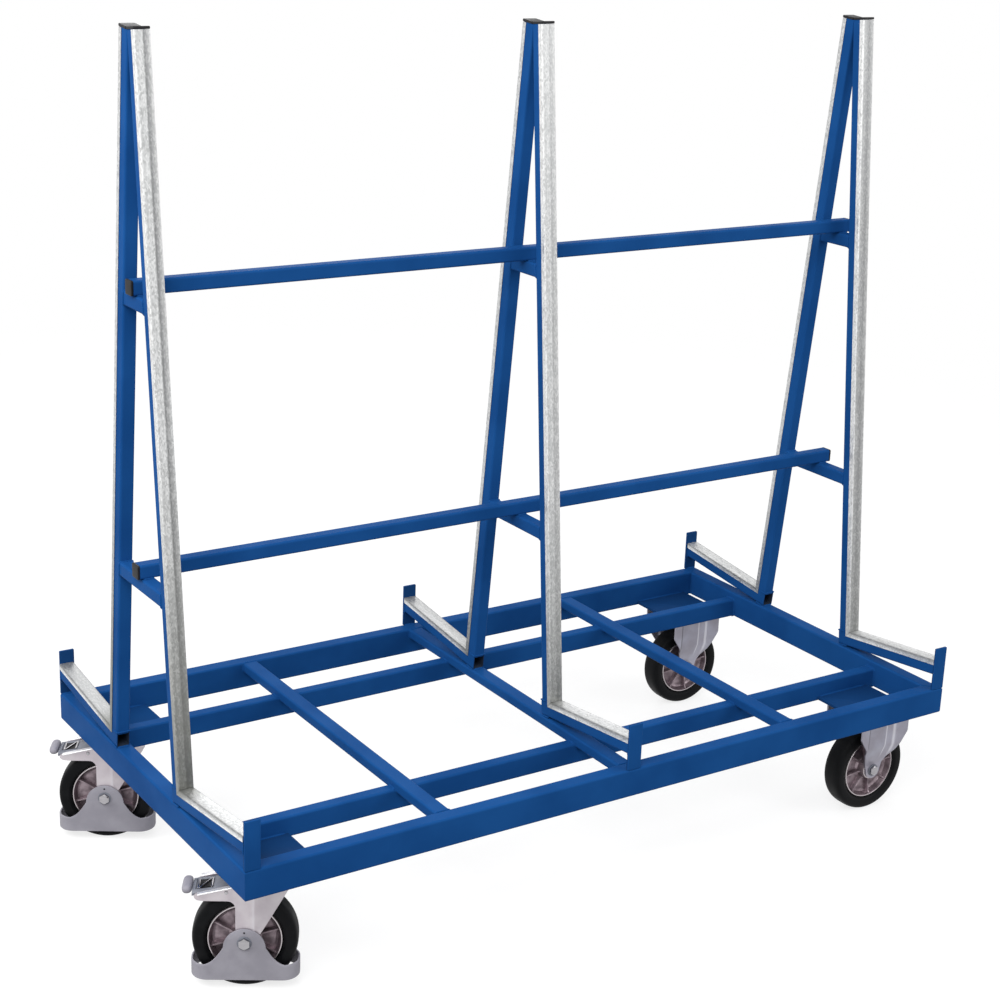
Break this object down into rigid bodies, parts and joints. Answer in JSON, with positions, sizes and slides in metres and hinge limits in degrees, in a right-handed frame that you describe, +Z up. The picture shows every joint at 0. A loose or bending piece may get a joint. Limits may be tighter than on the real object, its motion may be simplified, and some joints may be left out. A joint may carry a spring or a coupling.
{
  "type": "sheet goods cart",
  "caption": "Two-sided sheet goods cart: tube base on fixed and braked swivel castors, leaning A-frames with galvanised contact strips, rising support arms and stop plates.",
  "frame": {"origin": "on the floor under the middle of the whole cart with its pedals", "axes": "+X along the base towards the fixed castors, +Y to the rear side, +Z up"},
  "size_m": [1.5622, 0.79, 1.5337],
  "materials": {
    "frame_paint": "semi-gloss",
    "galvanised": "galvanised",
    "zinc_plate": "zinc plated",
    "aluminium_rim": "as cast",
    "cap_plastic": "matt",
    "guard_plastic": "matt",
    "tyre_rubber": "matt"
  },
  "bodies": {
    "cart_frame": {"front_rail": "frame_paint", "front_inner_rail": "frame_paint", "rear_rail": "frame_paint", "rear_inner_rail": "frame_paint", "left_end_rail": "frame_paint", "right_end_rail": "frame_paint", "left_cross_bar": "frame_paint", "centre_cross_bar": "frame_paint", "right_cross_bar": "frame_paint", "left_a_frame": "frame_paint", "left_front_leg_strip": "galvanised", "left_front_arm_strip": "galvanised", "left_front_leg_cap": "cap_plastic", "left_rear_leg_strip": "galvanised", "left_rear_arm_strip": "galvanised", "left_rear_leg_cap": "cap_plastic", "centre_a_frame": "frame_paint", "centre_front_leg_strip": "galvanised", "centre_front_arm_strip": "galvanised", "centre_front_leg_cap": "cap_plastic", "centre_rear_leg_strip": "galvanised", "centre_rear_arm_strip": "galvanised", "centre_rear_leg_cap": "cap_plastic", "right_a_frame": "frame_paint", "right_front_leg_strip": "galvanised", "right_front_arm_strip": "galvanised", "right_front_leg_cap": "cap_plastic", "right_rear_leg_strip": "galvanised", "right_rear_arm_strip": "galvanised", "right_rear_leg_cap": "cap_plastic", "lower_bar": "frame_paint", "lower_bar_left_cap": "cap_plastic", "lower_bar_right_cap": "cap_plastic", "upper_bar": "frame_paint", "upper_bar_left_cap": "cap_plastic", "upper_bar_right_cap": "cap_plastic", "front_fixed_bracket": "zinc_plate", "front_fixed_axle": "zinc_plate", "front_swivel_head": "zinc_plate", "rear_fixed_bracket": "zinc_plate", "rear_fixed_axle": "zinc_plate", "rear_swivel_head": "zinc_plate"},
    "front_fixed_wheel": {"front_fixed_rim": "aluminium_rim", "front_fixed_tyre": "tyre_rubber"},
    "front_swivel": {"front_swivel_fork": "zinc_plate", "front_swivel_guard": "guard_plastic", "front_swivel_axle": "zinc_plate"},
    "front_swivel_wheel": {"front_swivel_rim": "aluminium_rim", "front_swivel_tyre": "tyre_rubber"},
    "front_pedal": {"front_brake_pedal": "zinc_plate", "front_brake_grip": "guard_plastic"},
    "rear_fixed_wheel": {"rear_fixed_rim": "aluminium_rim", "rear_fixed_tyre": "tyre_rubber"},
    "rear_swivel": {"rear_swivel_fork": "zinc_plate", "rear_swivel_guard": "guard_plastic", "rear_swivel_axle": "zinc_plate"},
    "rear_swivel_wheel": {"rear_swivel_rim": "aluminium_rim", "rear_swivel_tyre": "tyre_rubber"},
    "rear_pedal": {"rear_brake_pedal": "zinc_plate", "rear_brake_grip": "guard_plastic"}
  },
  "joints": [
    {"name": "front_fixed_spin", "type": "hinge", "parent": "cart_frame", "child": "front_fixed_wheel", "pos_m": [0.6735, -0.299, 0.088], "axis": [0, 1, 0], "continuous": true},
    {"name": "front_swivel_turn", "type": "hinge", "parent": "cart_frame", "child": "front_swivel", "pos_m": [-0.652, -0.299, 0.2], "axis": [0, 0, 1], "continuous": true},
    {"name": "front_swivel_spin", "type": "hinge", "parent": "front_swivel", "child": "front_swivel_wheel", "pos_m": [-0.68808, -0.27749, 0.088], "axis": [-0.512, -0.859, 0], "continuous": true},
    {"name": "front_pedal_press", "type": "hinge", "parent": "front_swivel", "child": "front_pedal", "pos_m": [-0.71299, -0.26265, 0.1785], "axis": [-0.512, -0.859, 0], "range_deg": [0, 8]},
    {"name": "rear_fixed_spin", "type": "hinge", "parent": "cart_frame", "child": "rear_fixed_wheel", "pos_m": [0.6735, 0.299, 0.088], "axis": [0, 1, 0], "continuous": true},
    {"name": "rear_swivel_turn", "type": "hinge", "parent": "cart_frame", "child": "rear_swivel", "pos_m": [-0.652, 0.299, 0.2], "axis": [0, 0, 1], "continuous": true},
    {"name": "rear_swivel_spin", "type": "hinge", "parent": "rear_swivel", "child": "rear_swivel_wheel", "pos_m": [-0.68808, 0.32051, 0.088], "axis": [-0.512, -0.859, 0], "continuous": true},
    {"name": "rear_pedal_press", "type": "hinge", "parent": "rear_swivel", "child": "rear_pedal", "pos_m": [-0.71299, 0.33536, 0.1785], "axis": [-0.512, -0.859, 0], "range_deg": [0, 8]}
  ]
}
